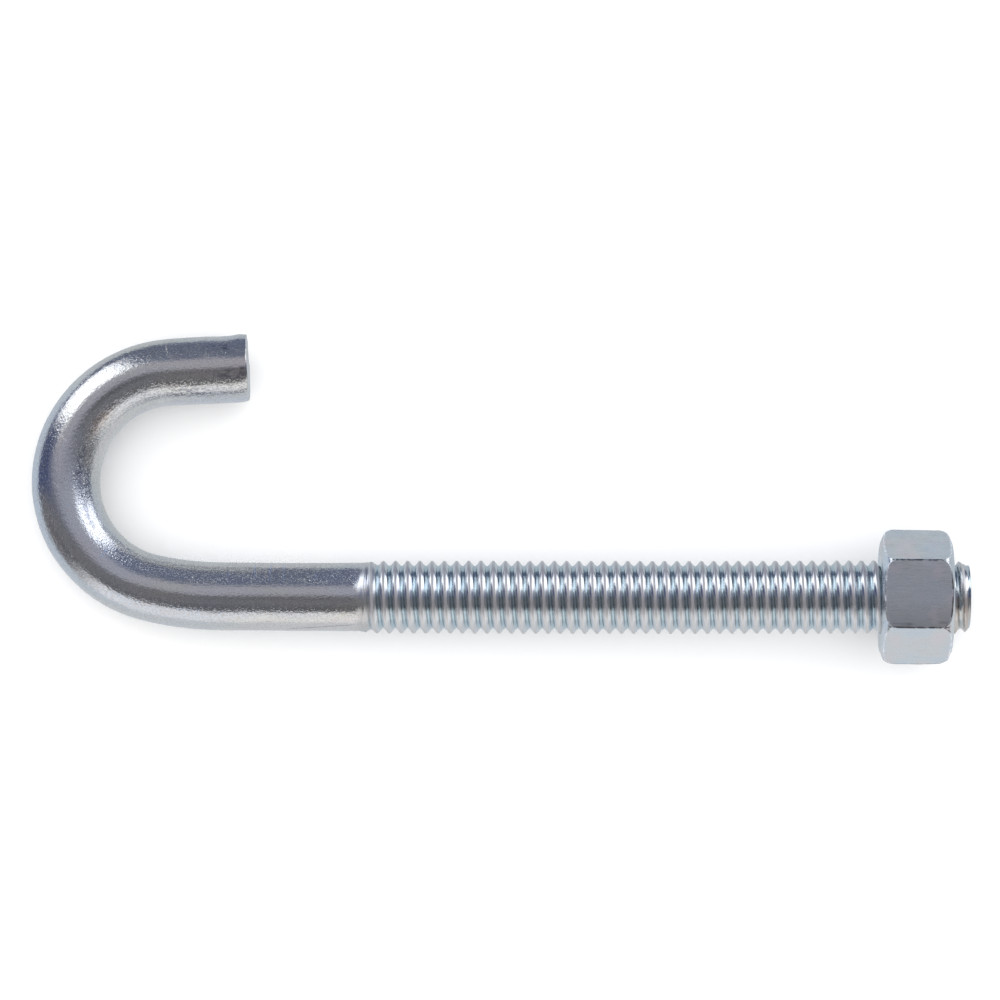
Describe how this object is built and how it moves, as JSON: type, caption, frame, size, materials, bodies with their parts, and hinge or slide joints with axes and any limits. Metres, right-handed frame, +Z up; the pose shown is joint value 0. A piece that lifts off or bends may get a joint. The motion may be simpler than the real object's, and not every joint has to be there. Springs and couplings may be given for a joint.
{
  "type": "j bolt",
  "caption": "Open hook bent from round steel rod, its shank rolled with a long coarse thread that carries a hex nut, for hanging, anchoring or clamping.",
  "frame": {"origin": "centre of the bounding box's footprint, on the surface that the bolt lies on", "axes": "+X along the rod's length from the hook to the threaded tip (the rod itself climbs 1.68 degrees towards the tip, because the nut is taller than the rod), +Y from the threaded rod towards the hook's free arm, +Z up"},
  "size_m": [0.1394, 0.0491, 0.0175],
  "materials": {
    "zinc_rod": "bright zinc plate over drawn and rolled steel",
    "zinc_nut": "bright zinc plate over cold-formed steel"
  },
  "bodies": {
    "bolt": {"j_bolt": "zinc_rod"},
    "nut": {"hex_nut": "zinc_nut"}
  },
  "joints": [
    {"name": "nut_travel", "type": "slide", "parent": "bolt", "child": "nut", "axis": [0.9996, 0, 0.0294], "range_m": [-0.07257, 0.01451]}
  ]
}
